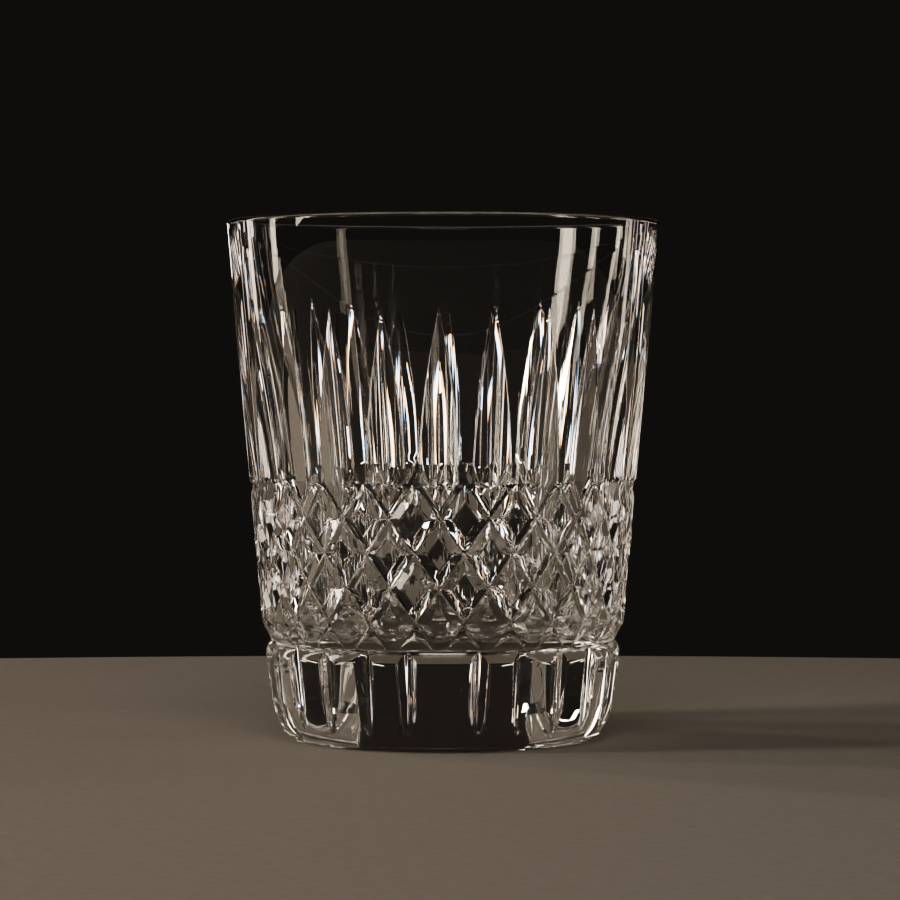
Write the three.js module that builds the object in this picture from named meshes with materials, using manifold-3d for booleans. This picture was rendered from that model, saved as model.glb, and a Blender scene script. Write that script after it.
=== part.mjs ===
// A cut-crystal whiskey tumbler: one thick piece of clear glass.
// The blank is turned on the Z axis, then wheels cut it from outside:
// tall pointed wedges, a band of crossed slanting grooves, and short flutes round the base.
// Millimetres, +Z up, origin at the centre of the face that it stands on.

import * as THREE from 'three';
import { ConvexGeometry } from 'three/addons/geometries/ConvexGeometry.js';
import { mergeVertices } from 'three/addons/utils/BufferGeometryUtils.js';
import Module from 'manifold-3d';

// Driving dimensions of the blank: r is a radius, z a height
const HEIGHT = 100;
const RIM = { r: 42, wall: 1.7 };
const BOWL_FOOT = { r: 35.15, z: 22.3 };
const WAIST = { r: 33.3, z: 18.9 };
const BASE_TOP = { r: 34.35, z: 16.5 };
const HEEL_TOP = { r: 33.2, z: 7.3 };
const HEEL_BEND = { r: 32.2, z: 2 };
const STANDING_RADIUS = 30;
const EDGE_ROUND = 0.4;

// The hollow: the wall thickens from the rim down to the cut band
const BAND_WALL = 5;
const BAND_WALL_Z = 45;
const FLOOR_Z = 19.5;
const FLOOR_ROUND = 9;

// Cuts. A half angle is measured from the middle of a V to one of its walls
const CUT_COUNT = 24;
const BAND_TURN = -1.1;
const WEDGE = { tip: 82.5, belly: 49.2, depth: 2.15, halfAngle: 57.5 };
const GROOVE = { top: 50.1, rowPitch: 6.5, bottom: 19.8, depth: 1.15, halfAngle: 57.5, runOut: 1 };
const FLUTE = { tip: { r: 31.95, z: 2.8 }, end: { r: 33.45, z: 19 }, halfAngle: 57 };
const FLUTE_PANEL_ANGLE = 22.3;

// How finely the round shapes are divided
const TURNED_SIDES = 48;
const ARC_STEPS = 2;
const WALL_STEPS = 4;
const KEEL_STEPS = 4;
const GROOVE_STEPS = 5;

// How far a cutter stands out of the glass
const CUTTER_PROUD = 1.5;

const wasm = await Module();
wasm.setup();

const radians = THREE.MathUtils.degToRad;
const rimRound = RIM.wall / 2;
const rimCentreZ = HEIGHT - rimRound;
const pitchAngle = 360 / CUT_COUNT;

// The bowl's outside is a plain cone from its foot to the rim
function coneRadius(z) {
  return THREE.MathUtils.mapLinear(z, BOWL_FOOT.z, rimCentreZ, BOWL_FOOT.r, RIM.r);
}

function wallThickness(z) {
  const thickening = THREE.MathUtils.smoothstep(rimCentreZ - z, 0, rimCentreZ - BAND_WALL_Z);
  return THREE.MathUtils.lerp(RIM.wall, BAND_WALL, thickening);
}

// Turns a corner of an outline into a short curve that starts and ends `cut` away from it
function roundCorner(path, corner, next, cut) {
  const here = new THREE.Vector2(corner.r, corner.z);
  const into = path.currentPoint.clone().sub(here).setLength(cut).add(here);
  const out = new THREE.Vector2(next.r, next.z).sub(here).setLength(cut).add(here);
  path.lineTo(into.x, into.y);
  path.quadraticCurveTo(here.x, here.y, out.x, out.y);
}

// Half the cross-section of the blank, from the standing face round to the floor of the hollow
function blankOutline() {
  const outline = new THREE.Path();
  outline.moveTo(0, 0);
  outline.lineTo(STANDING_RADIUS, 0);
  outline.quadraticCurveTo(HEEL_BEND.r, HEEL_BEND.z, HEEL_TOP.r, HEEL_TOP.z);
  roundCorner(outline, BASE_TOP, WAIST, EDGE_ROUND);
  roundCorner(outline, WAIST, BOWL_FOOT, EDGE_ROUND);
  roundCorner(outline, BOWL_FOOT, { r: RIM.r, z: rimCentreZ }, EDGE_ROUND);
  outline.lineTo(RIM.r, rimCentreZ);
  outline.absarc(RIM.r - rimRound, rimCentreZ, rimRound, 0, Math.PI, false);
  const roundTopZ = FLOOR_Z + FLOOR_ROUND;
  for (let step = 1; step <= WALL_STEPS; step += 1) {
    const z = THREE.MathUtils.lerp(rimCentreZ, roundTopZ, step / WALL_STEPS);
    outline.lineTo(coneRadius(z) - wallThickness(z), z);
  }
  const roundTop = outline.currentPoint.clone();
  outline.quadraticCurveTo(roundTop.x, FLOOR_Z, roundTop.x - FLOOR_ROUND, FLOOR_Z);
  outline.lineTo(0, FLOOR_Z);
  return outline.getPoints(ARC_STEPS);
}

// A closed geometry becomes a solid once its shared corners are one
function solidOf(geometry) {
  const bare = geometry.clone();
  bare.deleteAttribute('normal');
  bare.deleteAttribute('uv');
  const merged = mergeVertices(bare, 1e-4);
  const triangles = [];
  for (let i = 0; i < merged.index.count; i += 3) {
    const corners = [0, 1, 2].map((k) => merged.index.getX(i + k));
    if (new Set(corners).size === 3) triangles.push(...corners);
  }
  const mesh = new wasm.Mesh({
    numProp: 3,
    vertProperties: merged.attributes.position.array,
    triVerts: new Uint32Array(triangles),
  });
  return new wasm.Manifold(mesh);
}

function geometryOf(solid) {
  const mesh = solid.getMesh();
  const geometry = new THREE.BufferGeometry();
  geometry.setAttribute('position', new THREE.BufferAttribute(mesh.vertProperties, 3));
  geometry.setIndex(new THREE.BufferAttribute(mesh.triVerts, 1));
  const faceted = geometry.toNonIndexed();
  faceted.computeVertexNormals();
  return faceted;
}

// Cutters are made at the front of the glass, towards -Y, then turned to their places
function turned(geometry, degrees) {
  return geometry.clone().rotateZ(radians(degrees));
}

// A V-shaped cutter over a keel line in the plane X = 0, as wide as its proud edge needs
function keelCutter(keel, outerRadius, halfAngle) {
  const spread = Math.tan(radians(halfAngle));
  const corners = keel.flatMap(({ r, z }) => {
    const outer = outerRadius(z) + CUTTER_PROUD;
    const reach = (outer - r) * spread;
    return [
      new THREE.Vector3(0, -r, z),
      new THREE.Vector3(-reach, -outer, z),
      new THREE.Vector3(reach, -outer, z),
    ];
  });
  return new ConvexGeometry(corners);
}

// A tall wedge: a wheel's long arc above the belly, then a short straight lift to its foot
function wedgeCutter() {
  const footZ = GROOVE.top - GROOVE.rowPitch;
  const keel = [{ r: coneRadius(footZ), z: footZ }];
  for (let step = 0; step <= KEEL_STEPS; step += 1) {
    const rise = step / KEEL_STEPS;
    const z = THREE.MathUtils.lerp(WEDGE.belly, WEDGE.tip, rise);
    keel.push({ r: coneRadius(z) - WEDGE.depth * (1 - rise * rise), z });
  }
  return keelCutter(keel, coneRadius, WEDGE.halfAngle);
}

// A flute of the base: one straight V from the heel up to the waist
function fluteCutter() {
  return keelCutter([FLUTE.tip, FLUTE.end], () => BASE_TOP.r, FLUTE.halfAngle);
}

// A slanting groove: a straight V bar, wrapped round the cone by half a pitch for each row.
// Its first step is as long as the wheel's run-out, where the groove reaches its full depth.
function grooveCutter(lean) {
  const length = GROOVE.top - GROOVE.bottom;
  const tall = GROOVE.depth + CUTTER_PROUD;
  const reach = tall * Math.tan(radians(GROOVE.halfAngle));
  const section = new THREE.Shape([
    new THREE.Vector2(0, 0),
    new THREE.Vector2(reach, tall),
    new THREE.Vector2(-reach, tall),
  ]);
  const bar = new THREE.ExtrudeGeometry(section, {
    depth: length,
    steps: GROOVE_STEPS,
    bevelEnabled: false,
  });
  const evenStep = length / GROOVE_STEPS;
  const stretch = (length - GROOVE.runOut) / (length - evenStep);
  const turnPerMillimetre = radians(pitchAngle / 2) / GROOVE.rowPitch;
  const slant = Math.atan(coneRadius(BAND_WALL_Z) * turnPerMillimetre);
  const place = bar.attributes.position;
  for (let i = 0; i < place.count; i += 1) {
    const across = place.getX(i);
    const evenly = place.getZ(i);
    const first = THREE.MathUtils.clamp(evenly / evenStep, 0, 1);
    const along = first * GROOVE.runOut + (evenly - first * evenStep) * stretch;
    const z = GROOVE.top - along + lean * across * Math.sin(slant);
    const r = coneRadius(z) - GROOVE.depth * first + place.getY(i);
    const turn = lean * along * turnPerMillimetre + (across * Math.cos(slant)) / coneRadius(z);
    place.setXYZ(i, r * Math.sin(turn), -r * Math.cos(turn), z);
  }
  return bar;
}

// Angles of the base flutes: even pitches on each side, between a wider panel front and back
function fluteAngles() {
  const perSide = CUT_COUNT / 2;
  const pitch = (180 - FLUTE_PANEL_ANGLE) / (perSide - 1);
  const angles = [];
  for (let i = 0; i < perSide; i += 1) {
    const angle = FLUTE_PANEL_ANGLE / 2 + i * pitch;
    angles.push(angle, -angle);
  }
  return angles;
}

function cutGlass() {
  let glass = solidOf(new THREE.LatheGeometry(blankOutline(), TURNED_SIDES).rotateX(Math.PI / 2));
  const wedge = wedgeCutter();
  const grooves = [grooveCutter(1), grooveCutter(-1)];
  for (let i = 0; i < CUT_COUNT; i += 1) {
    const angle = BAND_TURN + i * pitchAngle;
    glass = glass.subtract(solidOf(turned(wedge, angle)));
    for (const groove of grooves) {
      glass = glass.subtract(solidOf(turned(groove, angle + pitchAngle / 2)));
    }
  }
  const flute = fluteCutter();
  for (const angle of fluteAngles()) {
    glass = glass.subtract(solidOf(turned(flute, angle)));
  }
  return geometryOf(glass);
}

const crystal = new THREE.MeshStandardMaterial({ color: 0xf2f3f1, roughness: 0.02, metalness: 0 });
const body = new THREE.Mesh(cutGlass(), crystal);
body.name = 'glass_body';

const tumbler = new THREE.Group();
tumbler.add(body);

export default tumbler;
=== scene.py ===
# %% [markdown]
# A cut-crystal whiskey tumbler.
# The real thing is one piece of clear glass: a blower shapes a thick blank, and a cutter then
# presses it against grinding wheels. This lesson follows the same order. It turns a blank,
# makes the shapes that the wheels take away, subtracts them, and then looks after the glass,
# the light and the camera.

# %% The frame
import math
import bmesh
import bpy
from mathutils import Matrix, Quaternion, Vector


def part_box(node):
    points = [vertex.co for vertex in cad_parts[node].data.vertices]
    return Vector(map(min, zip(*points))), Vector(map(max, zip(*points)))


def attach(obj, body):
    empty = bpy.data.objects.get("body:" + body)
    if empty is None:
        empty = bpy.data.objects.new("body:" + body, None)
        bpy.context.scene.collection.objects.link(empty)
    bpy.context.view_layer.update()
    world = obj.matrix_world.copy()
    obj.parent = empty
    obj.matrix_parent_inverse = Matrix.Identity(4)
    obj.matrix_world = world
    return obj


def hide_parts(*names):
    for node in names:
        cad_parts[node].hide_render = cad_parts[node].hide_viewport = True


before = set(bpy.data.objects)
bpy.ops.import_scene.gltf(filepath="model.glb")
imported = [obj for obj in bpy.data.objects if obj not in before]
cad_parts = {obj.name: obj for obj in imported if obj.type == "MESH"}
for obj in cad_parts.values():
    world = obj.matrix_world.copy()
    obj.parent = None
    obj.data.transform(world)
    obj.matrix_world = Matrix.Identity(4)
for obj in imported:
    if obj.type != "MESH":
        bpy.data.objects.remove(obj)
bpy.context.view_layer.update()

MM = 0.001
node_low, node_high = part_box("glass_body")
HEIGHT = node_high[2] - node_low[2]
RIM_RADIUS = (node_high[0] - node_low[0]) / 2
print("tumbler:", round(HEIGHT / MM, 2), "mm tall,", round(2 * RIM_RADIUS / MM, 2), "mm across the rim")

# %% [markdown]
# The camera stands at table height, a little under the rim, and looks very slightly down.
# A long lens from two thirds of a metre keeps the sides of the glass nearly parallel.
# The view is turned a hair to the right, which puts the glass just left of the middle.

# %% Camera
CAMERA_DISTANCE = 0.661
CAMERA_HEIGHT = 0.072
LOOK_DOWN = math.radians(1.43)
LOOK_RIGHT = math.radians(0.12)
LENS_MM = 136


def make_camera():
    data = bpy.data.cameras.new("camera")
    data.lens = LENS_MM
    data.sensor_width = 36
    data.clip_start = 0.01
    data.clip_end = 20
    camera = bpy.data.objects.new("camera", data)
    camera.location = (0, -CAMERA_DISTANCE, CAMERA_HEIGHT)
    camera.rotation_euler = (math.pi / 2 - LOOK_DOWN, 0, -LOOK_RIGHT)
    bpy.context.scene.collection.objects.link(camera)
    bpy.context.scene.camera = camera
    return camera


camera = make_camera()
print("camera:", [round(v, 3) for v in camera.location], "m, lens", camera.data.lens, "mm")

# %% [markdown]
# The blank is a solid of revolution, so its outline is drawn once, as half a cross-section, and
# spun round the axis. It starts at the middle of the face that the glass stands on, goes up the
# outside, over the rim, and down the inside to the floor of the bowl. The bowl's outside is a
# plain cone. Its wall is thin at the lip and thickens down to the cut band, where the wheels
# need glass to bite into. Small curves replace the corners, because fire polishing rounds them.

# %% Outline of the blank
RIM_WALL = 1.7 * MM
BAND_WALL = 5.0 * MM
BAND_WALL_Z = 45 * MM
BOWL_FOOT = Vector((35.15, 22.3)) * MM
WAIST = Vector((33.3, 18.9)) * MM
BASE_TOP = Vector((34.35, 16.5)) * MM
SHOULDER_BEND = Vector((34.15, 18.1)) * MM
HEEL_TOP = Vector((33.2, 7.3)) * MM
HEEL_BEND = Vector((32.2, 2.0)) * MM
STANDING_RADIUS = 30 * MM
EDGE_ROUND = 0.4 * MM
FLOOR_Z = 19.5 * MM
FLOOR_ROUND = 9 * MM
RIM_ROUND = RIM_WALL / 2
RIM_CENTRE_Z = HEIGHT - RIM_ROUND
HEEL_STEPS = 20
WAIST_STEPS = 12
RIM_STEPS = 24
WALL_STEPS = 30
FLOOR_STEPS = 24


def cone_radius(z):
    rise = (z - BOWL_FOOT.y) / (RIM_CENTRE_Z - BOWL_FOOT.y)
    return BOWL_FOOT.x + (RIM_RADIUS - BOWL_FOOT.x) * rise


def wall_thickness(z):
    drop = min(max((RIM_CENTRE_Z - z) / (RIM_CENTRE_Z - BAND_WALL_Z), 0), 1)
    return RIM_WALL + (BAND_WALL - RIM_WALL) * drop * drop * (3 - 2 * drop)


def bend(start, corner, end, steps):
    """Points of a quadratic curve from start to end that leans towards corner."""
    points = []
    for i in range(1, steps + 1):
        t = i / steps
        points.append(start * (1 - t) ** 2 + corner * 2 * t * (1 - t) + end * t * t)
    return points


def rounded(before, corner, after, cut=EDGE_ROUND, steps=6):
    """A corner turned into a short curve that starts and ends cut away from it."""
    start = corner + (before - corner).normalized() * cut
    end = corner + (after - corner).normalized() * cut
    return [start] + bend(start, corner, end, steps)


def blank_outline():
    rim_side = Vector((RIM_RADIUS, RIM_CENTRE_Z))
    points = [Vector((0, 0)), Vector((STANDING_RADIUS, 0))]
    points += bend(points[-1], HEEL_BEND, HEEL_TOP, HEEL_STEPS)
    points += rounded(HEEL_TOP, BASE_TOP, SHOULDER_BEND)
    points += bend(points[-1], SHOULDER_BEND, WAIST, WAIST_STEPS)
    points += rounded(WAIST, BOWL_FOOT, rim_side)
    for i in range(RIM_STEPS + 1):
        angle = math.pi * i / RIM_STEPS
        over = Vector((math.cos(angle), math.sin(angle))) * RIM_ROUND
        points.append(rim_side - Vector((RIM_ROUND, 0)) + over)
    round_top_z = FLOOR_Z + FLOOR_ROUND
    for i in range(1, WALL_STEPS + 1):
        z = RIM_CENTRE_Z + (round_top_z - RIM_CENTRE_Z) * i / WALL_STEPS
        points.append(Vector((cone_radius(z) - wall_thickness(z), z)))
    wall_foot = points[-1]
    floor_edge = Vector((wall_foot.x - FLOOR_ROUND, FLOOR_Z))
    points += bend(wall_foot, Vector((wall_foot.x, FLOOR_Z)), floor_edge, FLOOR_STEPS)
    points.append(Vector((0, FLOOR_Z)))
    return points


outline = blank_outline()
print("outline of the blank:", len(outline), "points")

# %% [markdown]
# Spinning the outline makes the blank that a blower would hand to the cutter. Enough sides keep
# the plain wall above the cuts smooth in a close view, and the seam where the turn closes is
# merged, because the cutters below need a closed body.

# %% Spin the blank
BLANK_SIDES = 360


def new_object(name, bm):
    mesh = bpy.data.meshes.new(name)
    bm.to_mesh(mesh)
    bm.free()
    made = bpy.data.objects.new(name, mesh)
    bpy.context.scene.collection.objects.link(made)
    return made


def spin_outline(name, points, sides):
    bm = bmesh.new()
    ring = [bm.verts.new((p.x, 0, p.y)) for p in points]
    for a, b in zip(ring, ring[1:]):
        bm.edges.new((a, b))
    bmesh.ops.spin(
        bm, geom=bm.verts[:] + bm.edges[:], cent=(0, 0, 0), axis=(0, 0, 1),
        angle=2 * math.pi, steps=sides, use_merge=True,
    )
    bmesh.ops.remove_doubles(bm, verts=bm.verts[:], dist=1e-7)
    bmesh.ops.recalc_face_normals(bm, faces=bm.faces[:])
    return new_object(name, bm)


blank = spin_outline("cut_glass_body", outline, BLANK_SIDES)
print("blank:", len(blank.data.polygons), "faces")

# %% [markdown]
# Every cut is a V ground by the edge of a wheel. A cutter here is the space that the wheel
# sweeps: a straight bar with a V section, then bent round the cone. The keel of the V is a
# narrow flat, as on a worn wheel, and its two lips flare, because polishing breaks the sharp
# arris. Those two small facets are what draws the fine double lines in the finished glass.

# %% V bars
KEEL_FLAT = 0.15 * MM
LIP_DEPTH = 0.09 * MM
LIP_WIDTH = 0.4 * MM
PROUD = 0.3 * MM


def v_section(depth, half_angle):
    """Half a V from its keel outwards, as (across, up), with the glass's surface at up = 0."""
    spread = math.tan(math.radians(half_angle))
    lip = KEEL_FLAT + (depth - LIP_DEPTH) * spread
    flare = LIP_WIDTH / LIP_DEPTH
    return [
        Vector((KEEL_FLAT, -depth)),
        Vector((lip, -LIP_DEPTH)),
        Vector((lip + (LIP_DEPTH + PROUD) * flare, PROUD)),
    ]


def v_bar(half_section, steps):
    """A closed bar one unit long: x across the cut, y along it, z up out of the glass."""
    bm = bmesh.new()
    right = [(p.x, p.y) for p in half_section]
    left = [(-x, up) for x, up in reversed(right)]
    corners = [bm.verts.new((x, 0, up)) for x, up in right + left]
    end = [bm.faces.new(corners)]
    for step in range(steps):
        grown = bmesh.ops.extrude_face_region(bm, geom=end, use_keep_orig=True)["geom"]
        if step > 0:
            bmesh.ops.delete(bm, geom=end, context="FACES_ONLY")
        fresh = [g for g in grown if isinstance(g, bmesh.types.BMVert)]
        bmesh.ops.translate(bm, verts=fresh, vec=(0, 1 / steps, 0))
        end = [g for g in grown if isinstance(g, bmesh.types.BMFace)]
    bmesh.ops.recalc_face_normals(bm, faces=bm.faces[:])
    return bm


def around(bm, angles):
    """Copies of one cutter, turned about the glass's axis to each angle in degrees."""
    first = bm.verts[:] + bm.edges[:] + bm.faces[:]
    for angle in angles:
        copy = bmesh.ops.duplicate(bm, geom=first)["geom"]
        verts = [g for g in copy if isinstance(g, bmesh.types.BMVert)]
        turn = Matrix.Rotation(math.radians(angle), 3, "Z")
        bmesh.ops.rotate(bm, verts=verts, cent=(0, 0, 0), matrix=turn)
    spent = [g for g in first if isinstance(g, bmesh.types.BMVert)]
    bmesh.ops.delete(bm, geom=spent, context="VERTS")


CUT_COUNT = 24
PITCH = 360 / CUT_COUNT
BAND_TURN = -1.1
print("cuts round the glass:", CUT_COUNT)

# %% [markdown]
# The tall wedges rise from the band to needle points. A large wheel rocks into the wall, so the
# depth follows the wheel's arc: full at the belly and nothing at the tip, and the width with it.
# Below the belly the wheel lifts quickly, so the foot of the wedge closes to a point as well.

# %% Wedge cutters
GROOVE_TOP = 50.1 * MM
GROOVE_ROW = 6.5 * MM
WEDGE_TIP = 82.5 * MM
WEDGE_BELLY = 49.2 * MM
WEDGE_FOOT = GROOVE_TOP - GROOVE_ROW
WEDGE_DEPTH = 2.15 * MM
WEDGE_HALF_ANGLE = 57.5
SMALLEST_SIZE = 0.01
WEDGE_FOOT_STEPS = 1
WEDGE_BLADE_STEPS = 24


def wedge_size(z):
    """How much of the full section the wheel cuts at a height: 1 at the belly, 0 at both ends."""
    if z > WEDGE_BELLY:
        rise = (z - WEDGE_BELLY) / (WEDGE_TIP - WEDGE_BELLY)
        return 1 - rise * rise
    return (z - WEDGE_FOOT) / (WEDGE_BELLY - WEDGE_FOOT)


def place_on_cone(across, up, z, turn):
    """A point that far across and above the cone, in front of the glass, then turned."""
    radius = cone_radius(z) + up
    angle = turn + across / cone_radius(z)
    return Vector((radius * math.sin(angle), -radius * math.cos(angle), z))


def wedge_cutters():
    steps = WEDGE_FOOT_STEPS + WEDGE_BLADE_STEPS
    bm = v_bar(v_section(WEDGE_DEPTH, WEDGE_HALF_ANGLE), steps)
    for v in bm.verts:
        step = round(v.co.y * steps)
        if step <= WEDGE_FOOT_STEPS:
            z = WEDGE_FOOT + (WEDGE_BELLY - WEDGE_FOOT) * step / WEDGE_FOOT_STEPS
        else:
            blade = (step - WEDGE_FOOT_STEPS) / WEDGE_BLADE_STEPS
            z = WEDGE_BELLY + (WEDGE_TIP - WEDGE_BELLY) * blade
        size = max(wedge_size(z), SMALLEST_SIZE)
        v.co = place_on_cone(v.co.x * size, v.co.z * size, z, 0)
    around(bm, [BAND_TURN + PITCH * i for i in range(CUT_COUNT)])
    bmesh.ops.recalc_face_normals(bm, faces=bm.faces[:])
    return new_object("wedge_cutters", bm)


wedges = wedge_cutters()
print("wedge cutters:", len(wedges.data.polygons), "faces")

# %% [markdown]
# The diamond band is two sets of slanting grooves that cross. Each groove goes down the cone by
# one row while it turns by half a pitch, so the crossings stand in columns, and every second row
# lines up under a wedge. Where two Vs cross, their creases meet in a small star, and between
# the crossings stays a flat diamond of the old surface.

# %% Groove cutters
GROOVE_BOTTOM = 19.8 * MM
GROOVE_DEPTH = 1.15 * MM
GROOVE_HALF_ANGLE = 56
GROOVE_RUN_OUT = 1.0 * MM
GROOVE_START_SIZE = 0.02
GROOVE_STEPS = 30


def groove_cutters(name, lean):
    bm = v_bar(v_section(GROOVE_DEPTH, GROOVE_HALF_ANGLE), GROOVE_STEPS)
    turn_rate = math.radians(PITCH / 2) / GROOVE_ROW
    slant = math.atan(cone_radius(BAND_WALL_Z) * turn_rate)
    length = GROOVE_TOP - GROOVE_BOTTOM
    for v in bm.verts:
        along = v.co.y * length
        size = min(GROOVE_START_SIZE + along / GROOVE_RUN_OUT, 1)
        across = v.co.x * size
        z = GROOVE_TOP - along + lean * across * math.sin(slant)
        turn = lean * along * turn_rate
        v.co = place_on_cone(across * math.cos(slant), v.co.z * size, z, turn)
    around(bm, [BAND_TURN + PITCH * (i + 0.5) for i in range(CUT_COUNT)])
    bmesh.ops.recalc_face_normals(bm, faces=bm.faces[:])
    return new_object(name, bm)


right_grooves = groove_cutters("right_grooves", 1)
left_grooves = groove_cutters("left_grooves", -1)
print("groove cutters:", len(right_grooves.data.polygons), "faces each way")

# %% [markdown]
# The base has short flutes: one straight V each, widest at the shoulder and gone at the heel.
# They are evenly spaced along each side, with a wider plain panel at the front and the back.

# %% Flute cutters
FLUTE_TIP = Vector((31.95, 2.8)) * MM
FLUTE_END = Vector((33.45, 19.0)) * MM
FLUTE_HALF_ANGLE = 57
FLUTE_PANEL_ANGLE = 22.3
FLUTE_PROUD_RADIUS = 36 * MM


def flute_angles():
    per_side = CUT_COUNT // 2
    pitch = (180 - FLUTE_PANEL_ANGLE) / (per_side - 1)
    right = [FLUTE_PANEL_ANGLE / 2 + i * pitch for i in range(per_side)]
    return right + [-angle for angle in right]


def flute_cutters():
    spread = math.tan(math.radians(FLUTE_HALF_ANGLE))
    bm = v_bar([Vector((KEEL_FLAT, 0)), Vector((1, 1))], 1)
    for v in bm.verts:
        keel = FLUTE_TIP.lerp(FLUTE_END, v.co.y)
        reach = (FLUTE_PROUD_RADIUS - keel.x) * v.co.z
        across = math.copysign(KEEL_FLAT + reach * spread, v.co.x)
        v.co = (across, -keel.x - reach, keel.y)
    around(bm, flute_angles())
    bmesh.ops.recalc_face_normals(bm, faces=bm.faces[:])
    return new_object("flute_cutters", bm)


flutes = flute_cutters()
print("flute cutters:", len(flutes.data.polygons), "faces")

# %% [markdown]
# The cuts are subtracted one set at a time. Within a set no two cutters meet inside the glass,
# which keeps the boolean simple and quick. Afterwards the cutters are thrown away, as the
# wheel's dust is. The surface is shaded smooth, except where two facets meet at more than the
# sharp angle.

# %% Cut the blank
SHARP_ANGLE = math.radians(37)


def cut(target, cutter):
    step = target.modifiers.new(cutter.name, "BOOLEAN")
    step.operation = "DIFFERENCE"
    step.solver = "MANIFOLD"
    step.object = cutter
    bpy.context.view_layer.update()
    depsgraph = bpy.context.evaluated_depsgraph_get()
    result = bpy.data.meshes.new_from_object(target.evaluated_get(depsgraph))
    target.modifiers.clear()
    old = target.data
    target.data = result
    bpy.data.meshes.remove(old)
    bpy.data.objects.remove(cutter)


for cutter in (wedges, right_grooves, left_grooves, flutes):
    cut(blank, cutter)
    print("faces after this set:", len(blank.data.polygons))


def drop_chips(target):
    """Removes specks that the cuts left loose, and keeps the one large body."""
    bm = bmesh.new()
    bm.from_mesh(target.data)
    waiting = set(bm.verts)
    groups = []
    while waiting:
        reached = [waiting.pop()]
        for vert in reached:
            for edge in vert.link_edges:
                other = edge.other_vert(vert)
                if other in waiting:
                    waiting.remove(other)
                    reached.append(other)
        groups.append(reached)
    groups.sort(key=len)
    for chip in groups[:-1]:
        bmesh.ops.delete(bm, geom=chip, context="VERTS")
    bm.to_mesh(target.data)
    bm.free()
    return len(groups) - 1


print("loose chips dropped:", drop_chips(blank))
blank.data.name = "cut_glass_body"
blank.data.shade_smooth()
blank.data.set_sharp_from_angle(angle=SHARP_ANGLE)
roll = blank.modifiers.new("rolled_edges", "WEIGHTED_NORMAL")
roll.mode = "FACE_AREA"
roll.weight = 50
roll.keep_sharp = True
print("glass:", len(blank.data.polygons), "faces,", len(blank.data.vertices), "corners")

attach(blank, "root")
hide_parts("glass_body")

# %% [markdown]
# Even a washed glass isn't a perfect surface. The blown wall is very slightly wavy, the
# polished cuts keep a trace of the wheel, and a little dust and handling dulls it in patches.
# These marks are one node group with an amount for each, so that each can be tuned on its own.

# %% Marks on the glass
CLEAN_LEVEL = 0.52


def make_marks():
    group = bpy.data.node_groups.new("handling_marks", "ShaderNodeTree")
    for name, start in (("Waviness", 1.0), ("Wheel Trace", 1.0), ("Smudge", 1.0)):
        socket = group.interface.new_socket(name, in_out="INPUT", socket_type="NodeSocketFloat")
        socket.default_value = start
    group.interface.new_socket("Height", in_out="OUTPUT", socket_type="NodeSocketFloat")
    group.interface.new_socket("Roughness", in_out="OUTPUT", socket_type="NodeSocketFloat")
    nodes, links = group.nodes, group.links
    given = nodes.new("NodeGroupInput")
    out = nodes.new("NodeGroupOutput")
    where = nodes.new("ShaderNodeTexCoord")

    def noise(scale, detail):
        made = nodes.new("ShaderNodeTexNoise")
        made.inputs["Scale"].default_value = scale
        made.inputs["Detail"].default_value = detail
        links.new(where.outputs["Object"], made.inputs["Vector"])
        return made.outputs["Fac"]

    def maths(kind, a, b):
        made = nodes.new("ShaderNodeMath")
        made.operation = kind
        for socket, value in zip(made.inputs, (a, b)):
            if isinstance(value, (int, float)):
                socket.default_value = value
            else:
                links.new(value, socket)
        return made.outputs[0]

    wave = maths("MULTIPLY", noise(55, 1), given.outputs["Waviness"])
    trace = maths("MULTIPLY", noise(900, 2), given.outputs["Wheel Trace"])
    links.new(maths("ADD", wave, trace), out.inputs["Height"])
    patch = maths("SUBTRACT", noise(38, 3), CLEAN_LEVEL)
    patch = maths("MAXIMUM", patch, 0)
    links.new(maths("MULTIPLY", patch, given.outputs["Smudge"]), out.inputs["Roughness"])
    return group


marks_group = make_marks()
print("marks on the glass:", [socket.name for socket in marks_group.interface.items_tree])

# %% [markdown]
# Lead crystal bends light more than window glass does, which is why it is cut: every facet
# throws a bright or a black piece of the room at the eye. The body is otherwise a plain clear
# glass with hardly any tint, so the material sets the index itself and takes its roughness and
# its bumps from the marks.

# %% Crystal
CRYSTAL_IOR = 1.55
MARK_HEIGHT = 0.2 * MM


def make_crystal():
    material = bpy.data.materials.new("lead_crystal")
    material.use_nodes = True
    nodes, links = material.node_tree.nodes, material.node_tree.links
    glass = nodes["Principled BSDF"]
    glass.inputs["Base Color"].default_value = (0.985, 0.99, 0.985, 1)
    glass.inputs["Metallic"].default_value = 0
    glass.inputs["Transmission Weight"].default_value = 1
    glass.inputs["IOR"].default_value = CRYSTAL_IOR
    marks = nodes.new("ShaderNodeGroup")
    marks.node_tree = marks_group
    marks.inputs["Waviness"].default_value = 1
    marks.inputs["Wheel Trace"].default_value = 0.01
    marks.inputs["Smudge"].default_value = 0.08
    links.new(marks.outputs["Roughness"], glass.inputs["Roughness"])
    bump = nodes.new("ShaderNodeBump")
    bump.inputs["Strength"].default_value = 0.25
    bump.inputs["Distance"].default_value = MARK_HEIGHT
    links.new(marks.outputs["Height"], bump.inputs["Height"])
    links.new(bump.outputs["Normal"], glass.inputs["Normal"])
    return material


blank.data.materials.clear()
blank.data.materials.append(make_crystal())
print("glass finish:", blank.data.materials[0].name)

# %% [markdown]
# Clear glass has no colour of its own, so what stands round it decides how it looks. A plain
# pale table ends a little way behind the glass. Beyond it the room is dark, which leaves the
# facets something black to show.

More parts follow.
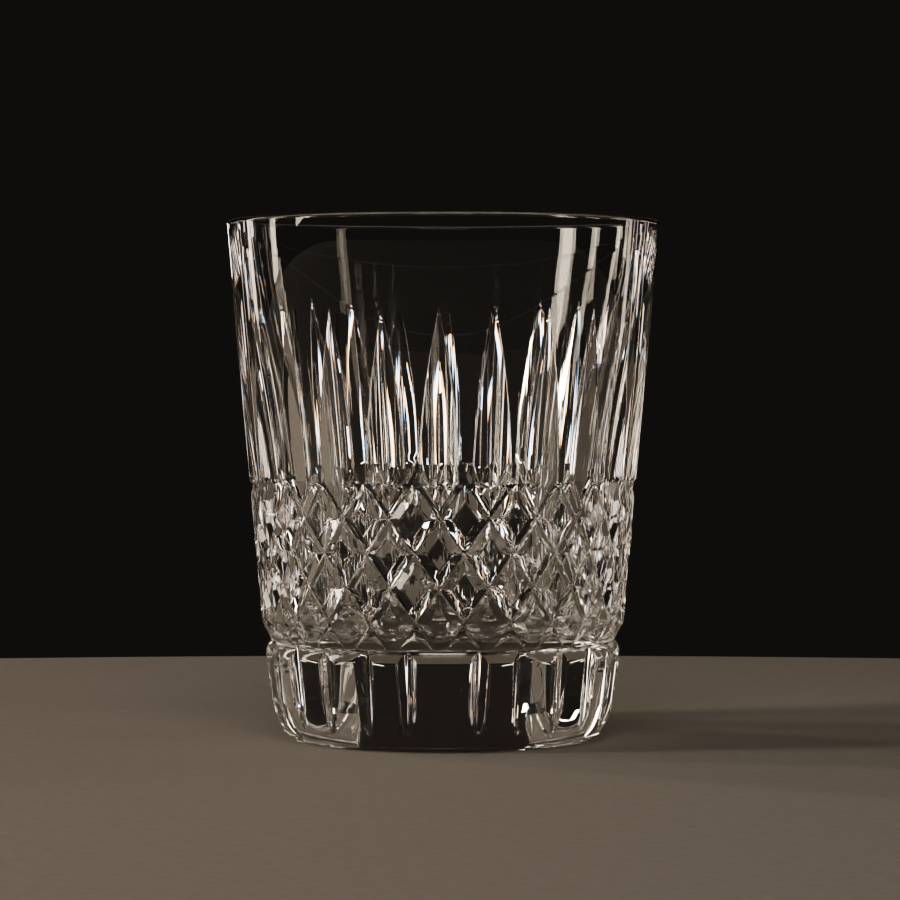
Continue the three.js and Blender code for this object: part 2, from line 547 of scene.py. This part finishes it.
# %% Table
TABLE_HALF_WIDTH = 0.5
TABLE_HALF_DEPTH = 0.32
TABLE_CENTRE_Y = -0.135
TABLE_THICKNESS = 0.02
TABLE_EDGE_ROUND = 0.002
TABLE_GAP = 0.2 * MM


def make_table():
    bm = bmesh.new()
    bmesh.ops.create_circle(bm, cap_ends=True, segments=180, radius=1)
    bmesh.ops.scale(bm, verts=bm.verts[:], vec=(TABLE_HALF_WIDTH, TABLE_HALF_DEPTH, 1))
    bmesh.ops.translate(bm, verts=bm.verts[:], vec=(0, TABLE_CENTRE_Y, 0))
    grown = bmesh.ops.extrude_face_region(bm, geom=bm.faces[:], use_keep_orig=True)["geom"]
    top = [g for g in grown if isinstance(g, bmesh.types.BMVert)]
    bmesh.ops.translate(bm, verts=bm.verts[:], vec=(0, 0, -TABLE_THICKNESS - TABLE_GAP))
    bmesh.ops.translate(bm, verts=top, vec=(0, 0, TABLE_THICKNESS))
    rim = [e for e in bm.edges if all(v in set(top) for v in e.verts)]
    bmesh.ops.bevel(
        bm, geom=rim, offset=TABLE_EDGE_ROUND, segments=4, profile=0.5, affect="EDGES", material=-1,
    )
    bmesh.ops.recalc_face_normals(bm, faces=bm.faces[:])
    table = new_object("table_top", bm)
    material = bpy.data.materials.new("pale_table")
    material.use_nodes = True
    nodes, links = material.node_tree.nodes, material.node_tree.links
    paint = nodes["Principled BSDF"]
    paint.inputs["Roughness"].default_value = 0.8
    paint.inputs["Specular IOR Level"].default_value = 0.2
    grain = nodes.new("ShaderNodeTexNoise")
    grain.inputs["Scale"].default_value = 400
    shade = nodes.new("ShaderNodeValToRGB")
    shade.color_ramp.elements[0].color = (0.60, 0.58, 0.55, 1)
    shade.color_ramp.elements[1].color = (0.70, 0.68, 0.65, 1)
    where = nodes.new("ShaderNodeTexCoord")
    links.new(where.outputs["Object"], grain.inputs["Vector"])
    links.new(grain.outputs["Fac"], shade.inputs["Fac"])
    links.new(shade.outputs["Color"], paint.inputs["Base Color"])
    table.data.materials.append(material)
    return table


table = make_table()
table_end = round(TABLE_CENTRE_Y + TABLE_HALF_DEPTH, 3)
print("table:", len(table.data.polygons), "faces, ends", table_end, "m behind the glass's axis")

# %% [markdown]
# Cut glass is only as lively as the lights round it, since each facet throws back one small
# piece of them. Slanting strips low behind the glass show in the wedges as nested bright lines.
# Small panes and thin upright strips behind it feed the band and the outline, and the wide
# strips at the sides draw the long gleams inside the bowl. Real crystal also splits the light
# into colours, which the renderer doesn't do, so each strip and pane behind the glass has
# a narrow amber gel along one edge and a blue one along the other.

# %% Lights
AMBER = (1.0, 0.50, 0.16)
WARM = (1.0, 0.86, 0.70)
SKY = (0.30, 0.58, 1.0)
PALE = (1.0, 0.90, 0.78)
GEL_SHARE = 0.35


def soft_box(name, azimuth, elevation, distance, size, colour, radiance, lean=0, aside=0):
    """A rectangular light that faces the glass. Its azimuth counts from the front to the right."""
    data = bpy.data.lights.new(name, "AREA")
    data.shape = "RECTANGLE"
    data.size, data.size_y = size
    data.color = colour
    data.energy = radiance * math.pi * size[0] * size[1]
    lamp = bpy.data.objects.new(name, data)
    a, e = math.radians(azimuth), math.radians(elevation)
    away = Vector((math.sin(a) * math.cos(e), -math.cos(a) * math.cos(e), math.sin(e)))
    turn = (-away).to_track_quat("-Z", "Y") @ Quaternion((0, 0, 1), math.radians(lean))
    lamp.location = Vector((0, 0, HEIGHT / 2)) + away * distance + turn @ Vector((aside, 0, 0))
    lamp.rotation_mode = "QUATERNION"
    lamp.rotation_quaternion = turn
    lamp.visible_camera = False
    bpy.context.scene.collection.objects.link(lamp)
    return lamp


def gelled_strip(name, azimuth, elevation, distance, size, radiance, lean=0):
    """A warm strip with an amber gel down one edge and a blue gel down the other."""
    gel = (size[0] * GEL_SHARE, size[1])
    aside = (size[0] + gel[0]) / 2
    place = (azimuth, elevation, distance)
    soft_box(name, *place, size, WARM, radiance, lean)
    soft_box(name + "_amber", *place, gel, AMBER, radiance, lean, -aside)
    soft_box(name + "_blue", *place, gel, SKY, radiance, lean, aside)


BEHIND = 180
BACK_DISTANCE = 1.4
SIDE_DISTANCE = 1.3
STRIP_LENGTH = 0.8
RAFTER_COUNT = 6
RAFTER_FIRST = 15.5
RAFTER_PITCH = 3.7
RAFTER_ELEVATION = -3.5
RAFTER_LEAN = 40
RAFTER_SIZE = (0.009, 0.2)
PANE_SIZE = (0.03, 0.03)

SIDES = ((1, "left"), (-1, "right"))

for rafter in range(RAFTER_COUNT):
    off_centre = RAFTER_FIRST + RAFTER_PITCH * rafter
    for side, word in SIDES:
        name = f"{word}_rafter_{rafter}"
        azimuth = BEHIND + side * off_centre
        lean = side * RAFTER_LEAN
        gelled_strip(name, azimuth, RAFTER_ELEVATION, BACK_DISTANCE, RAFTER_SIZE, 4, lean)

for side, word in SIDES:
    for off_centre in (37, 48):
        for elevation in (-5, -1, 4):
            name = f"{word}_pane_{off_centre}_{elevation}"
            gelled_strip(name, BEHIND + side * off_centre, elevation, BACK_DISTANCE, PANE_SIZE, 5)
    for name, off_centre, width, radiance in (("rim", 42, 0.014, 2), ("outline", 56, 0.02, 2.5)):
        size = (width, STRIP_LENGTH)
        azimuth = BEHIND + side * off_centre
        gelled_strip(f"{word}_{name}_strip", azimuth, 3, BACK_DISTANCE, size, radiance)

soft_box("right_strip", 116, 10, SIDE_DISTANCE, (0.07, STRIP_LENGTH), WARM, 4)
soft_box("left_strip", 282, 14, SIDE_DISTANCE, (0.20, STRIP_LENGTH), WARM, 9)
soft_box("far_left_strip", 260, 14, SIDE_DISTANCE, (0.10, STRIP_LENGTH), WARM, 7)
soft_box("back_left_strip", 237, 14, SIDE_DISTANCE, (0.08, STRIP_LENGTH), WARM, 7)
soft_box("base_glow", 198, 4, BACK_DISTANCE, (0.05, 0.10), WARM, 7)
soft_box("front_right_fill", 62, 17, SIDE_DISTANCE, (0.10, STRIP_LENGTH), WARM, 2)
soft_box("overhead", 0, 55, 0.5, (0.2, 0.2), PALE, 1.7)


ROOM_COLOUR = (0.020, 0.018, 0.0165, 1)


def make_world():
    world = bpy.data.worlds.new("dark_room")
    world.use_nodes = True
    world.node_tree.nodes["Background"].inputs["Color"].default_value = ROOM_COLOUR
    bpy.context.scene.world = world


make_world()
bpy.context.scene.view_settings.look = "AgX - High Contrast"
bpy.context.scene.cycles.max_bounces = 32
bpy.context.scene.cycles.transmission_bounces = 32
bpy.context.scene.cycles.glossy_bounces = 16
print("lights:", len(bpy.data.lights))
